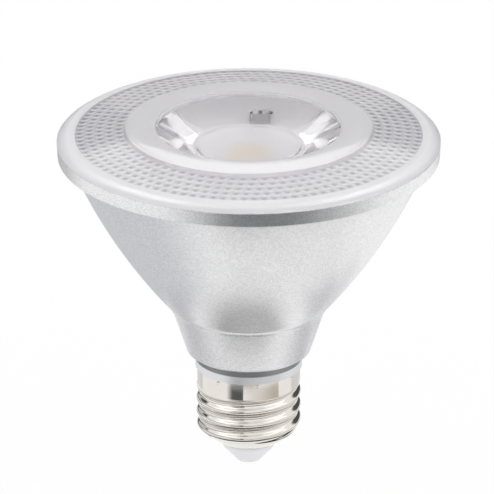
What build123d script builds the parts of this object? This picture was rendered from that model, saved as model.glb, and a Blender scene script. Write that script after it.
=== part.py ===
"""LED reflector lamp with a clear collimator lens and an Edison screw base.

Millimetres, +Z up. The origin is the tip of the centre contact, on the lamp's axis, and the light leaves
towards +Z. The pieces are built from the screw base upwards.
"""

import os
from math import hypot, sqrt

from build123d import *

os.makedirs("parts", exist_ok=True)

# Screw base
contact_d = 6.2
contact_head_h = 1.2
contact_edge_h = 0.35
contact_shank_d = 2.4
contact_shank_l = 8.4
insulator_tip_d = 6.7
insulator_waist_d = 12.8
insulator_cone_h = 3.4
insulator_h = 4.9
insulator_plug_h = 3.4
lip_d = 14.2
shell_wall = 0.3
shell_cone_h = 4.3
thread_d = 26.3
thread_depth = 0.8
thread_pitch = 25.4 / 7
thread_foot_w = 2.5
thread_crest_w = 0.9
thread_start_angle = 180
thread_end_gap = 0.3
thread_h = 11.4
collar_inset = 0.2
collar_step_h = 0.6
collar_h = 5.0

# Plastic driver housing
flange_ledge = 0.45
flange_h = 2.0
shoulder_h = 2.1
shoulder_w = 0.8
tube_wall = 1.5
top_flange_h = 2.4
boss_d = 6.4
boss_h = 8.0
rail_w = 1.2
rail_reach = 0.8

# Silver body
neck_h = 12.3
neck_land = 1.1
neck_flare = 4.05
neck_round = 1.0
crease_round = 4.0
bowl_h = 40.4
bowl_bulge = 1.9
rim_d = 95.2
rim_ledge = 3.2
band_h = 3.8
band_draft = 0.2
rim_round = 0.3
land_w = 0.7
land_h = 0.8
housing_wall = 1.8

# Aluminium pan under the lens
pan_wall = 1.0
pan_depth = 13.3
pan_slope = 7.0
pan_side_gap = 0.4

# Clear front lens
lens_edge_h = 1.35
lens_edge_w = 3.0
lens_edge_bulge = 0.35
lens_rise = 2.35
lens_thick = 2.2
lens_edge_thick = 1.0
skirt_w = 1.6
window_d = 45.8
window_depth = 1.1
cone_lead_w = 1.3
pillow_margin = 1.5
pillow_rings = 5
pillow_pitch = 2.48
pillow_h = 0.35
collimator_foot_w = 0.7
collimator_bulge = 0.3
collimator_land = 0.4
cavity_taper = 0.2
cavity_h = 2.0
cavity_lens_h = 0.4

# LED board and package
led_board_edge = 0.3
led_board_t = 1.6
led_size = 15.0
led_corner = 0.5
led_clear = 2.6
led_substrate_t = 0.6
led_light_d = 11.0
led_phosphor_h = 0.4
led_dam_w = 0.9
led_dam_h = 0.5
screw_d = 3.0
screw_head_d = 5.2
screw_head_h = 1.8
screw_head_bevel = 0.7
screw_slot_w = 0.9
screw_slot_l = 3.2
screw_slot_h = 1.0
screw_l = 9.0
connector_w = 4.5
connector_l = 4.2
connector_h = 3.4
connector_x = 2.45
connector_bevel = 0.4
lead_d = 1.2
lead_pitch = 2.0
lead_bend = 2.0
lead_edge_gap = 1.6
lead_drop = 3.0
lead_hole_gap = 0.6

# Driver board and its components
driver_board_t = 1.6
driver_side_gap = 0.6
driver_board_y = 2.0
driver_tail_gap = 1.7
driver_top_gap = 9.0
component_gap = 1.0
fuse_d = 3.2
fuse_l = 8.5
varistor_d = 7.0
varistor_t = 3.2
varistor_x = -4.2
bridge_w = 4.8
bridge_h = 4.0
bridge_t = 2.4
bridge_x = 3.6
capacitor_d = 8.0
capacitor_l = 14.0
capacitor_edge_gap = 2.6
capacitor_bevel = 0.5
film_w = 7.0
film_h = 10.0
film_t = 5.0
film_edge_gap = 3.3
film_round = 0.5
core_w = 13.0
core_h = 13.0
core_t = 5.6
core_yoke = 2.5
core_leg = 1.9
core_center_d = 4.0
bobbin_wall = 0.6
winding_d = 8.4
choke_d = 7.6
choke_l = 7.0
choke_waist_d = 5.4
choke_cheek = 1.2
chip_w = 4.0
chip_h = 5.0
chip_t = 1.6
base_wire_d = 1.0
base_wire_bend = 1.0
neutral_x = -5.0
neutral_gap = 0.7

# Clearances
fit_gap = 0.1
seat_gap = 0.05
lens_gap = 2.0
hardware_gap = 0.3

# Heights, from the contact's tip upwards
lip_z = contact_head_h + insulator_h
thread_z = lip_z + shell_cone_h
neutral_z = thread_z + neutral_gap + base_wire_d / 2
spigot_z = neutral_z + base_wire_d / 2 + neutral_gap
driver_low_z = spigot_z + driver_tail_gap
collar_z = thread_z + thread_h
flange_z = collar_z + collar_h
shoulder_z = flange_z + flange_h
neck_z = shoulder_z + shoulder_h
crease_z = neck_z + neck_h
rim_z = crease_z + bowl_h
seat_z = rim_z + band_h
dome_edge_z = seat_z + lens_edge_h
crown_z = dome_edge_z + lens_rise
lens_edge_low_z = dome_edge_z - lens_edge_thick
collimator_top_z = crown_z - lens_thick
window_z = crown_z - window_depth

# Heights inside, from the rim downwards
ledge_z = rim_z + housing_wall
pan_top_z = ledge_z + pan_wall
pan_floor_z = pan_top_z - pan_depth
pan_under_z = pan_floor_z - pan_wall
led_board_z = pan_floor_z + led_board_t
led_top_z = led_board_z + led_substrate_t
collimator_z = led_board_z + lens_gap
top_flange_z = pan_under_z - top_flange_h
driver_high_z = pan_under_z - driver_top_gap
lead_low_z = driver_high_z - lead_drop
lead_high_z = led_board_z + connector_h - lead_d

# Radii and places that neighbours share
thread_r = thread_d / 2 - thread_depth
shell_bore_r = thread_r - shell_wall
spigot_r = shell_bore_r - fit_gap
collar_r = thread_d / 2 - collar_inset
collar_bore_r = collar_r - shell_wall
flange_r = collar_r + flange_ledge
tube_r = flange_r + shoulder_w
tube_bore_r = tube_r - tube_wall
tail_bore_r = spigot_r - tube_wall
neck_r = tube_r + fit_gap + neck_land
crease_r = neck_r + neck_flare
rim_r = rim_d / 2
mouth_r = rim_r - housing_wall
bowl_top_r = rim_r - band_draft - rim_ledge
dome_edge_r = rim_r - lens_edge_w
window_r = window_d / 2
pillow_start_r = dome_edge_r - pillow_margin - pillow_pitch * pillow_rings
cone_start_r = pillow_start_r - cone_lead_w
cavity_r = led_size / sqrt(2) + led_clear
foot_r = cavity_r + collimator_foot_w
collimator_top_r = window_r + collimator_land
skirt_r = mouth_r - fit_gap
skirt_bore_r = skirt_r - skirt_w
driver_front_y = driver_board_y - driver_board_t / 2
driver_back_y = driver_board_y + driver_board_t / 2
driver_half_w = sqrt(tube_bore_r**2 - driver_back_y**2) - driver_side_gap
tail_half_w = sqrt(tail_bore_r**2 - driver_back_y**2) - driver_side_gap
driver_front = Plane.XZ.offset(-driver_front_y)
driver_back = Plane.XZ.offset(-driver_back_y)


def underside_z(radius):
    """Height of the lens's underside at a radius: a shallow cone from the collimator's wall out to the skirt."""
    share = (radius - collimator_top_r) / (skirt_bore_r - collimator_top_r)
    return collimator_top_z + (lens_edge_low_z - collimator_top_z) * share


# Ring of hardware on the LED board, clear of the collimator's bulged wall
wall_slope = (collimator_top_r - foot_r) / (collimator_top_z - collimator_z)
wall_reach = foot_r + wall_slope * (connector_h - lens_gap) + collimator_bulge * hypot(1, wall_slope)
hardware_r = wall_reach + hardware_gap
screw_r = hardware_r + screw_head_d / 2
connector_y = hardware_r + connector_l / 2
led_board_r = hardware_r + max(screw_head_d, connector_l) + led_board_edge
lead_y = led_board_r + lead_edge_gap + lead_d / 2
lead_xs = (connector_x - lead_pitch / 2, connector_x + lead_pitch / 2)
lead_slot_w = lead_pitch + lead_d + 2 * lead_hole_gap
lead_slot_h = lead_d + 2 * lead_hole_gap


# Centre contact: a domed rivet head on its shank
with BuildPart() as center_contact:
    with BuildSketch(Plane.XZ):
        with BuildLine():
            dome = TangentArc((0, 0), (contact_d / 2, contact_head_h - contact_edge_h), tangent=(1, 0))
            Polyline(
                dome @ 1,
                (contact_d / 2, contact_head_h),
                (contact_shank_d / 2, contact_head_h),
                (contact_shank_d / 2, contact_shank_l),
                (0, contact_shank_l),
                (0, 0),
            )
        make_face()
    revolve(axis=Axis.Z)
center_contact.part.label = "center_contact"
export_step(center_contact.part, "parts/center_contact.step")


# Base insulator: a rounded cone below the shell's lip, and a plug that fills the shell's own cone
cone_slope = (thread_r - lip_d / 2) / shell_cone_h
plug_inset = (shell_wall + fit_gap) * hypot(1, cone_slope)
plug_neck_r = lip_d / 2 - shell_wall - seat_gap
plug_neck_z = lip_z + (plug_neck_r - lip_d / 2 + plug_inset) / cone_slope
plug_top_z = lip_z + insulator_plug_h
plug_top_r = lip_d / 2 + cone_slope * insulator_plug_h - plug_inset
insulator_bore_r = contact_shank_d / 2 + seat_gap
with BuildPart() as base_insulator:
    with BuildSketch(Plane.XZ):
        with BuildLine():
            cone = Line(
                (insulator_tip_d / 2, contact_head_h),
                (insulator_waist_d / 2, contact_head_h + insulator_cone_h),
            )
            barrel = TangentArc(cone @ 1, (plug_neck_r, lip_z), tangent=cone % 1)
            Polyline(
                barrel @ 1,
                (plug_neck_r, plug_neck_z),
                (plug_top_r, plug_top_z),
                (insulator_bore_r, plug_top_z),
                (insulator_bore_r, contact_head_h),
                cone @ 0,
            )
        make_face()
    revolve(axis=Axis.Z)
base_insulator.part.label = "base_insulator"
export_step(base_insulator.part, "parts/base_insulator.step")


# Edison thread: one ridge wound up the shell, its foot sunk into the wall
thread_turns = (thread_h - 2 * thread_end_gap) / thread_pitch
thread_foot_x = -shell_wall / 2
with BuildPart() as thread_ridge:
    with BuildLine() as thread_path:
        Helix(
            pitch=thread_pitch,
            height=thread_pitch * thread_turns,
            radius=thread_r,
            center=(0, 0, thread_z + thread_end_gap),
        )
    winding_line = thread_path.edges()[0]
    with BuildSketch(Plane(origin=winding_line @ 0, x_dir=(1, 0, 0), z_dir=winding_line % 0)):
        with BuildLine():
            Polyline(
                (thread_foot_x, -thread_foot_w / 2),
                (thread_depth, -thread_crest_w / 2),
                (thread_depth, thread_crest_w / 2),
                (thread_foot_x, thread_foot_w / 2),
                close=True,
            )
        make_face()
    sweep(path=winding_line, is_frenet=True)

# Screw shell: thin rolled wall with a lip, a cone, the threaded length and a plain collar
cone_wall_rise = shell_wall * (hypot(1, cone_slope) - 1) / cone_slope
with BuildPart() as screw_shell:
    with BuildSketch(Plane.XZ):
        with BuildLine():
            Polyline(
                (0, lip_z),
                (lip_d / 2, lip_z),
                (thread_r, thread_z),
                (thread_r, collar_z),
                (collar_r, collar_z + collar_step_h),
                (collar_r, flange_z),
                (0, flange_z),
                close=True,
            )
        make_face()
    revolve(axis=Axis.Z)
    add(thread_ridge.part, rotation=(0, 0, thread_start_angle))
    with BuildSketch(Plane.XZ):
        with BuildLine():
            Polyline(
                (0, lip_z),
                (lip_d / 2 - shell_wall, lip_z),
                (lip_d / 2 - shell_wall, lip_z + cone_wall_rise),
                (shell_bore_r, thread_z + cone_wall_rise),
                (shell_bore_r, collar_z),
                (collar_bore_r, collar_z + collar_step_h),
                (collar_bore_r, flange_z),
                (0, flange_z),
                close=True,
            )
        make_face()
    revolve(axis=Axis.Z, mode=Mode.SUBTRACT)
screw_shell.part.label = "screw_shell"
export_step(screw_shell.part, "parts/screw_shell.step")


# Driver housing: spigot in the shell, visible flange and shoulder, tube in the neck, flange under the pan
with BuildPart() as driver_housing:
    with BuildSketch(Plane.XZ):
        with BuildLine():
            Polyline(
                (spigot_r, spigot_z),
                (spigot_r, collar_z + fit_gap),
                (collar_bore_r - fit_gap, collar_z + collar_step_h + fit_gap),
                (collar_bore_r - fit_gap, flange_z),
                (flange_r, flange_z),
                (flange_r, shoulder_z),
                (tube_r, neck_z),
                (tube_r, top_flange_z),
                (led_board_r, top_flange_z),
                (led_board_r, pan_under_z),
                (tube_bore_r, pan_under_z),
                (tube_bore_r, neck_z),
                (tail_bore_r, flange_z),
                (tail_bore_r, spigot_z),
                close=True,
            )
        make_face()
    revolve(axis=Axis.Z)
    with BuildSketch(Plane.XY.offset(top_flange_z)):
        with PolarLocations(screw_r, 2):
            Circle(boss_d / 2)
    extrude(amount=-boss_h)
    with BuildSketch(Plane.XY.offset(neck_z)):
        for side_y in (driver_front_y - fit_gap - rail_w / 2, driver_back_y + fit_gap + rail_w / 2):
            rail_outer_x = sqrt((tube_bore_r + tube_wall / 2) ** 2 - side_y**2)
            rail_inner_x = driver_half_w - rail_reach
            with Locations(
                ((rail_inner_x + rail_outer_x) / 2, side_y),
                (-(rail_inner_x + rail_outer_x) / 2, side_y),
            ):
                Rectangle(rail_outer_x - rail_inner_x, rail_w)
    extrude(amount=driver_high_z - neck_z)
    with BuildSketch(Plane.XY.offset(pan_under_z)):
        with PolarLocations(screw_r, 2):
            Circle(screw_d / 2 + fit_gap)
    extrude(amount=-(top_flange_h + boss_h) + tube_wall, mode=Mode.SUBTRACT)
    with BuildSketch(Plane.XZ.offset(-tube_r)):
        with Locations((connector_x, lead_low_z)):
            SlotOverall(lead_slot_w, lead_slot_h)
    extrude(amount=2 * tube_wall, mode=Mode.SUBTRACT)
driver_housing.part.label = "driver_housing"
export_step(driver_housing.part, "parts/driver_housing.step")


# Silver body: conical neck, bulged bowl and rim band, as one even wall
bowl_foot = (crease_r, crease_z)
bowl_top = (bowl_top_r, rim_z)
rim_corner = (rim_r - band_draft, rim_z)
land_r = bowl_top_r + land_w
neck_corner = (neck_r, neck_z)
neck_fillet = min(neck_round, neck_land * 0.9)
body_bore_r = tube_r + fit_gap
with BuildPart() as housing:
    with BuildSketch(Plane.XZ) as body_section:
        with BuildLine():
            Polyline((0, neck_z), neck_corner, bowl_foot)
            SagittaArc(bowl_foot, bowl_top, -bowl_bulge)
            Polyline(bowl_top, rim_corner, (rim_r, seat_z), (0, seat_z), (0, neck_z))
        make_face()
        offset(amount=-housing_wall, kind=Kind.INTERSECTION, mode=Mode.SUBTRACT)
        with Locations((0, neck_z)):
            Rectangle(2 * body_bore_r, 4 * housing_wall, mode=Mode.SUBTRACT)
        with Locations((0, seat_z)):
            Rectangle(2 * mouth_r, 2 * (seat_z - ledge_z), mode=Mode.SUBTRACT)
        with Locations((0, (neck_z + seat_z) / 2)):
            Rectangle(2 * housing_wall, seat_z - neck_z, mode=Mode.SUBTRACT)
        for corner, size in ((neck_corner, neck_fillet), (bowl_foot, crease_round), (rim_corner, rim_round)):
            fillet(body_section.vertices().sort_by_distance(corner)[0], size)
        with Locations((land_r, rim_z)):
            Rectangle(land_w + housing_wall / 2, land_h, align=(Align.MAX, Align.MAX))
    revolve(axis=Axis.Z)
housing.part.label = "housing"
export_step(housing.part, "parts/housing.step")


# Aluminium pan: flange on the body's ledge, sloping wall and a flat floor for the LED board
pan_mouth_r = bowl_top_r - housing_wall - pan_side_gap - pan_wall
with BuildPart() as heat_sink_cup:
    with BuildSketch(Plane.XZ):
        with BuildLine():
            Polyline(
                (0, pan_floor_z),
                (pan_mouth_r - pan_slope, pan_floor_z),
                (pan_mouth_r, pan_top_z),
                (mouth_r - fit_gap, pan_top_z),
                (mouth_r - fit_gap, ledge_z),
                (pan_mouth_r + pan_wall, ledge_z),
                (pan_mouth_r - pan_slope + pan_wall, pan_under_z),
                (0, pan_under_z),
                close=True,
            )
        make_face()
    revolve(axis=Axis.Z)
    with BuildSketch(Plane.XY.offset(pan_floor_z)):
        with PolarLocations(screw_r, 2):
            Circle(screw_d / 2 + fit_gap)
        with Locations((connector_x, lead_y)):
            SlotOverall(lead_slot_w, lead_slot_h)
    extrude(amount=-pan_wall, mode=Mode.SUBTRACT)
heat_sink_cup.part.label = "heat_sink_cup"
export_step(heat_sink_cup.part, "parts/heat_sink_cup.step")


# LED board: a round plate on the pan's floor
with BuildPart() as led_board:
    with BuildSketch(Plane.XY.offset(pan_floor_z)):
        Circle(led_board_r)
        with PolarLocations(screw_r, 2):
            Circle(screw_d / 2 + fit_gap, mode=Mode.SUBTRACT)
    extrude(amount=led_board_t)
led_board.part.label = "led_board"
export_step(led_board.part, "parts/led_board.step")


# LED package: a square base plate, the dam round its light-giving disc, and the phosphor in the dam
with BuildPart() as led_substrate:
    with BuildSketch(Plane.XY.offset(led_board_z)):
        RectangleRounded(led_size, led_size, led_corner)
    extrude(amount=led_substrate_t)
led_substrate.part.label = "led_substrate"
export_step(led_substrate.part, "parts/led_substrate.step")

with BuildPart() as led_dam:
    with BuildSketch(Plane.XY.offset(led_top_z)):
        Circle(led_light_d / 2 + led_dam_w)
        Circle(led_light_d / 2, mode=Mode.SUBTRACT)
    extrude(amount=led_dam_h)
    chamfer(led_dam.faces().sort_by(Axis.Z)[-1].edges(), led_dam_w / 4)
led_dam.part.label = "led_dam"
export_step(led_dam.part, "parts/led_dam.step")

with BuildPart() as led_phosphor:
    with BuildSketch(Plane.XY.offset(led_top_z)):
        Circle(led_light_d / 2 - seat_gap)
    extrude(amount=led_phosphor_h)
led_phosphor.part.label = "led_phosphor"
export_step(led_phosphor.part, "parts/led_phosphor.step")


# Board screws: two cross-slotted screws through the board and the pan into the driver housing
with BuildPart() as board_screws:
    with BuildSketch(Plane.XY.offset(led_board_z)):
        with PolarLocations(screw_r, 2):
            Circle(screw_head_d / 2)
    extrude(amount=screw_head_h)
    chamfer(board_screws.faces().filter_by(Axis.Z).group_by(Axis.Z)[-1].edges(), screw_head_bevel)
    with BuildSketch(Plane.XY.offset(led_board_z)):
        with PolarLocations(screw_r, 2):
            Circle(screw_d / 2)
    extrude(amount=-screw_l)
    with BuildSketch(Plane.XY.offset(led_board_z + screw_head_h)):
        with PolarLocations(screw_r, 2):
            Rectangle(screw_slot_l, screw_slot_w)
            Rectangle(screw_slot_w, screw_slot_l)
    extrude(amount=-screw_slot_h, mode=Mode.SUBTRACT)
board_screws.part.label = "board_screws"
export_step(board_screws.part, "parts/board_screws.step")


# LED connector: a small block on the board, beside the collimator
with BuildPart() as led_connector:
    with BuildSketch(Plane.XY.offset(led_board_z)):
        with Locations((connector_x, connector_y)):
            Rectangle(connector_w, connector_l)
    extrude(amount=connector_h)
    chamfer(led_connector.faces().sort_by(Axis.Z)[-1].edges(), connector_bevel)
led_connector.part.label = "led_connector"
export_step(led_connector.part, "parts/led_connector.step")


# LED leads: from the connector, down through the pan and in to the back of the driver board
for lead_name, lead_x in zip(("led_lead_positive", "led_lead_negative"), lead_xs):
    with BuildPart() as led_lead:
        with BuildLine() as lead_path:
            FilletPolyline(
                (lead_x, connector_y + connector_l / 2, lead_high_z),
                (lead_x, lead_y, lead_high_z),
                (lead_x, lead_y, lead_low_z),
                (lead_x, driver_back_y, lead_low_z),
                radius=lead_bend,
            )
        with BuildSketch(Plane(origin=lead_path.line @ 0, z_dir=lead_path.line % 0)):
            Circle(lead_d / 2)
        sweep()
    led_lead.part.label = lead_name
    export_step(led_lead.part, f"parts/{lead_name}.step")


# Front lens: smooth shallow cone with pillow rings below, recessed window, solid collimator and a locating skirt
pillow_edges = [pillow_start_r + pillow_pitch * ring for ring in range(pillow_rings, -1, -1)]
with BuildPart() as front_lens:
    with BuildSketch(Plane.XZ):
        with BuildLine():
            Polyline(
                (0, window_z),
                (window_r, window_z),
                (window_r, crown_z),
                (cone_start_r, crown_z),
                (dome_edge_r, dome_edge_z),
            )
            SagittaArc((dome_edge_r, dome_edge_z), (rim_r, seat_z), lens_edge_bulge)
            Polyline(
                (rim_r, seat_z),
                (skirt_r, seat_z),
                (skirt_r, pan_top_z + fit_gap),
                (skirt_bore_r, pan_top_z + fit_gap),
                (skirt_bore_r, lens_edge_low_z),
                (pillow_edges[0], underside_z(pillow_edges[0])),
            )
            for outer_r, inner_r in zip(pillow_edges, pillow_edges[1:]):
                middle_r = (inner_r + outer_r) / 2
                Polyline(
                    (outer_r, underside_z(outer_r)),
                    (middle_r, underside_z(middle_r) - pillow_h),
                    (inner_r, underside_z(inner_r)),
                )
            Line((pillow_edges[-1], underside_z(pillow_edges[-1])), (collimator_top_r, collimator_top_z))
            SagittaArc(
                (collimator_top_r, collimator_top_z),
                (foot_r, collimator_z),
                collimator_bulge,
            )
            Polyline(
                (foot_r, collimator_z),
                (cavity_r, collimator_z),
                (cavity_r - cavity_taper, collimator_z + cavity_h),
            )
            cavity_lens = TangentArc(
                (0, collimator_z + cavity_h - cavity_lens_h),
                (cavity_r - cavity_taper, collimator_z + cavity_h),
                tangent=(1, 0),
            )
            Line(cavity_lens @ 0, (0, window_z))
        make_face()
    revolve(axis=Axis.Z)
front_lens.part.label = "front_lens"
export_step(front_lens.part, "parts/front_lens.step")


# Driver board: an upright plate in the housing's rails, with a narrow tail down the spigot
with BuildPart() as driver_board:
    with BuildSketch(driver_back):
        with BuildLine():
            Polyline(
                (-tail_half_w, driver_low_z),
                (tail_half_w, driver_low_z),
                (tail_half_w, neck_z),
                (driver_half_w, neck_z),
                (driver_half_w, driver_high_z),
                (-driver_half_w, driver_high_z),
                (-driver_half_w, neck_z),
                (-tail_half_w, neck_z),
                close=True,
            )
        make_face()
    extrude(amount=driver_board_t)
driver_board.part.label = "driver_board"
export_step(driver_board.part, "parts/driver_board.step")


# Component heights on the driver board, stacked from its lower end
fuse_z = driver_low_z + component_gap + fuse_d / 2
input_z = fuse_z + fuse_d / 2 + component_gap + varistor_d / 2
storage_z = max(input_z + varistor_d / 2, neck_z) + component_gap
core_z = storage_z + max(capacitor_l, film_h) + component_gap + core_h / 2


# Fuse resistor: a small barrel across the tail
with BuildPart() as fuse_resistor:
    with BuildSketch(Plane.YZ.offset(-fuse_l / 2)):
        with Locations((driver_front_y - fuse_d / 2 - seat_gap, fuse_z)):
            Circle(fuse_d / 2)
    extrude(amount=fuse_l)
    chamfer(fuse_resistor.edges().filter_by(GeomType.CIRCLE), fuse_d / 5)
fuse_resistor.part.label = "fuse_resistor"
export_step(fuse_resistor.part, "parts/fuse_resistor.step")


# Varistor: a dipped disc flat on the board
with BuildPart() as varistor:
    with BuildSketch(driver_front):
        with Locations((varistor_x, input_z)):
            Circle(varistor_d / 2)
    extrude(amount=varistor_t)
    chamfer(varistor.faces().sort_by(Axis.Y)[0].edges(), varistor_t / 4)
varistor.part.label = "varistor"
export_step(varistor.part, "parts/varistor.step")


# Bridge rectifier beside the varistor
with BuildPart() as bridge_rectifier:
    with BuildSketch(driver_front):
        with Locations((bridge_x, input_z)):
            Rectangle(bridge_w, bridge_h)
    extrude(amount=bridge_t)
bridge_rectifier.part.label = "bridge_rectifier"
export_step(bridge_rectifier.part, "parts/bridge_rectifier.step")


# Bulk capacitor: a can along the board, set in from its left edge
capacitor_x = capacitor_edge_gap + capacitor_d / 2 - driver_half_w
with BuildPart() as bulk_capacitor:
    with BuildSketch(Plane.XY.offset(storage_z)):
        with Locations((capacitor_x, driver_front_y - capacitor_d / 2 - seat_gap)):
            Circle(capacitor_d / 2)
    extrude(amount=capacitor_l)
    chamfer(bulk_capacitor.edges().filter_by(GeomType.CIRCLE), capacitor_bevel)
bulk_capacitor.part.label = "bulk_capacitor"
export_step(bulk_capacitor.part, "parts/bulk_capacitor.step")


# Film capacitor: a boxed block beside the can, set in from the board's right edge
film_x = driver_half_w - film_edge_gap - film_w / 2
with BuildPart() as film_capacitor:
    with BuildSketch(driver_front):
        with Locations((film_x, storage_z + film_h / 2)):
            RectangleRounded(film_w, film_h, film_round)
    extrude(amount=film_t)
film_capacitor.part.label = "film_capacitor"
export_step(film_capacitor.part, "parts/film_capacitor.step")


# Transformer core: a closed ferrite frame with a round centre leg
core_y = driver_front_y - winding_d / 2 - component_gap
core_window_h = core_h - 2 * core_yoke
with BuildPart() as transformer_core:
    with BuildSketch(Plane.XZ.offset(-core_y - core_t / 2)):
        with Locations((0, core_z)):
            Rectangle(core_w, core_h)
            Rectangle(core_w - 2 * core_leg, core_window_h, mode=Mode.SUBTRACT)
    extrude(amount=core_t)
    with BuildSketch(Plane.XY.offset(core_z - core_window_h / 2)):
        with Locations((0, core_y)):
            Circle(core_center_d / 2)
    extrude(amount=core_window_h)
transformer_core.part.label = "transformer_core"
export_step(transformer_core.part, "parts/transformer_core.step")


# Transformer bobbin: a sleeve on the centre leg, with two cheeks that stand on the board
bobbin_h = core_window_h - 2 * fit_gap
cheek_low_y = core_y - winding_d / 2
with BuildPart() as transformer_bobbin:
    with BuildSketch(Plane.XY.offset(core_z - bobbin_h / 2)):
        with Locations((0, core_y)):
            Circle(core_center_d / 2 + fit_gap + bobbin_wall)
    extrude(amount=bobbin_h)
    for cheek_z in (core_z - bobbin_h / 2, core_z + bobbin_h / 2 - bobbin_wall):
        with BuildSketch(Plane.XY.offset(cheek_z)):
            with Locations((0, (cheek_low_y + driver_front_y) / 2)):
                Rectangle(winding_d, driver_front_y - cheek_low_y)
        extrude(amount=bobbin_wall)
    with BuildSketch(Plane.XY.offset(core_z - bobbin_h / 2)):
        with Locations((0, core_y)):
            Circle(core_center_d / 2 + fit_gap)
    extrude(amount=bobbin_h, mode=Mode.SUBTRACT)
transformer_bobbin.part.label = "transformer_bobbin"
export_step(transformer_bobbin.part, "parts/transformer_bobbin.step")


# Transformer winding: the wound coil between the bobbin's cheeks
with BuildPart() as transformer_winding:
    with BuildSketch(Plane.XY.offset(core_z - bobbin_h / 2 + bobbin_wall)):
        with Locations((0, core_y)):
            Circle(winding_d / 2)
            Circle(core_center_d / 2 + fit_gap + bobbin_wall + seat_gap, mode=Mode.SUBTRACT)
    extrude(amount=bobbin_h - 2 * bobbin_wall)
transformer_winding.part.label = "transformer_winding"
export_step(transformer_winding.part, "parts/transformer_winding.step")


# Filter choke: a drum on the back of the board
choke_z = storage_z + choke_d / 2
with BuildPart() as filter_choke:
    with BuildSketch(Plane.XY.offset(choke_z)):
        with BuildLine():
            Polyline(
                (0, driver_back_y),
                (choke_d / 2, driver_back_y),
                (choke_d / 2, driver_back_y + choke_cheek),
                (choke_waist_d / 2, driver_back_y + choke_cheek),
                (choke_waist_d / 2, driver_back_y + choke_l - choke_cheek),
                (choke_d / 2, driver_back_y + choke_l - choke_cheek),
                (choke_d / 2, driver_back_y + choke_l),
                (0, driver_back_y + choke_l),
                close=True,
            )
        make_face()
    revolve(axis=Axis((0, 0, choke_z), (0, 1, 0)))
filter_choke.part.label = "filter_choke"
export_step(filter_choke.part, "parts/filter_choke.step")


# Controller chip on the back of the board
with BuildPart() as controller_chip:
    with BuildSketch(driver_back):
        with Locations((0, core_z)):
            Rectangle(chip_w, chip_h)
    extrude(amount=-chip_t)
    fillet(controller_chip.edges().filter_by(Axis.Y), chip_t / 8)
controller_chip.part.label = "controller_chip"
export_step(controller_chip.part, "parts/controller_chip.step")


# Live wire: from the contact's shank up to the end of the driver board
wire_gap = driver_low_z - contact_shank_l
with BuildPart() as live_wire:
    with BuildLine() as live_path:
        FilletPolyline(
            (0, 0, contact_shank_l),
            (0, 0, contact_shank_l + wire_gap / 3),
            (0, driver_board_y, driver_low_z - wire_gap / 3),
            (0, driver_board_y, driver_low_z),
            radius=base_wire_bend,
        )
    with BuildSketch(Plane(origin=live_path.line @ 0, z_dir=live_path.line % 0)):
        Circle(base_wire_d / 2)
    sweep()
live_wire.part.label = "live_wire"
export_step(live_wire.part, "parts/live_wire.step")


# Neutral wire: from the end of the driver board out to the shell's wall, below the spigot
neutral_end_x = -sqrt(shell_bore_r**2 - (driver_board_y + base_wire_d / 2) ** 2) + seat_gap
with BuildPart() as neutral_wire:
    with BuildLine() as neutral_path:
        FilletPolyline(
            (neutral_x, driver_board_y, driver_low_z),
            (neutral_x, driver_board_y, neutral_z),
            (neutral_end_x, driver_board_y, neutral_z),
            radius=base_wire_bend,
        )
    with BuildSketch(Plane(origin=neutral_path.line @ 0, z_dir=neutral_path.line % 0)):
        Circle(base_wire_d / 2)
    sweep()
neutral_wire.part.label = "neutral_wire"
export_step(neutral_wire.part, "parts/neutral_wire.step")
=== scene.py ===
"""Looks of an LED reflector lamp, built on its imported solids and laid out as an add-on.

Run as a script, it registers the classes below, calls the operators in order and leaves the lamp on a
white studio floor, seen by one camera. Lengths are in metres, in the frame of the solids: +Z runs up the
lamp's axis from the tip of the centre contact, and -Y is the side that faces the camera.
"""

import math

import bmesh
import bpy
from bpy.props import FloatProperty, FloatVectorProperty, IntProperty, PointerProperty
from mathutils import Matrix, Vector


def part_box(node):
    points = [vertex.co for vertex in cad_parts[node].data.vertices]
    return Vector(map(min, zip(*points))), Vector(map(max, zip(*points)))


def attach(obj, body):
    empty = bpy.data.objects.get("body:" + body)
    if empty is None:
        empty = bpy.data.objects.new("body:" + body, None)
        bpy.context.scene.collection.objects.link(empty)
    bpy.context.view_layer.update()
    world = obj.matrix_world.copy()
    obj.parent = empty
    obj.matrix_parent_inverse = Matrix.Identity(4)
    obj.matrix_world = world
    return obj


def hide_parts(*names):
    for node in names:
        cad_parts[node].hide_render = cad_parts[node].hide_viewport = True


bl_info = {
    "name": "Reflector lamp",
    "version": (1, 0, 0),
    "blender": (4, 5, 0),
    "location": "View3D > Sidebar > Lamp",
    "description": "Builds the visible pieces and finishes of a reflector lamp around its solids",
    "category": "Object",
}

MM = 0.001
BODY = "root"
BODY_SEGMENTS = 256
SHELL_SEGMENTS = 192
SHELL_ROWS = 132
ON_AXIS = 1e-7
WHITE = (1, 1, 1, 1)
SOURCES = (bpy.types.Node, bpy.types.NodeSocket)

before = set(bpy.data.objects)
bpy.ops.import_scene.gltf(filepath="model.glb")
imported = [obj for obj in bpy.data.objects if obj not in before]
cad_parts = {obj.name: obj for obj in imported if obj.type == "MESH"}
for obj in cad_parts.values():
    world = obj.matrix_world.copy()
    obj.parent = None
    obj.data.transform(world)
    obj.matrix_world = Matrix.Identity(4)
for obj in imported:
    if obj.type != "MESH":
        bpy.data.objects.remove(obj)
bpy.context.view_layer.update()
housing_low, housing_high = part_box("housing")
lens_low, lens_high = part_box("front_lens")
shell_low, shell_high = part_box("screw_shell")
pan_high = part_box("heat_sink_cup")[1]


def length(name, description, mm):
    """A length that a user may change, given in millimetres and kept in metres."""
    return FloatProperty(name=name, description=description, default=mm * MM, unit="LENGTH", precision=5)


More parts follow.
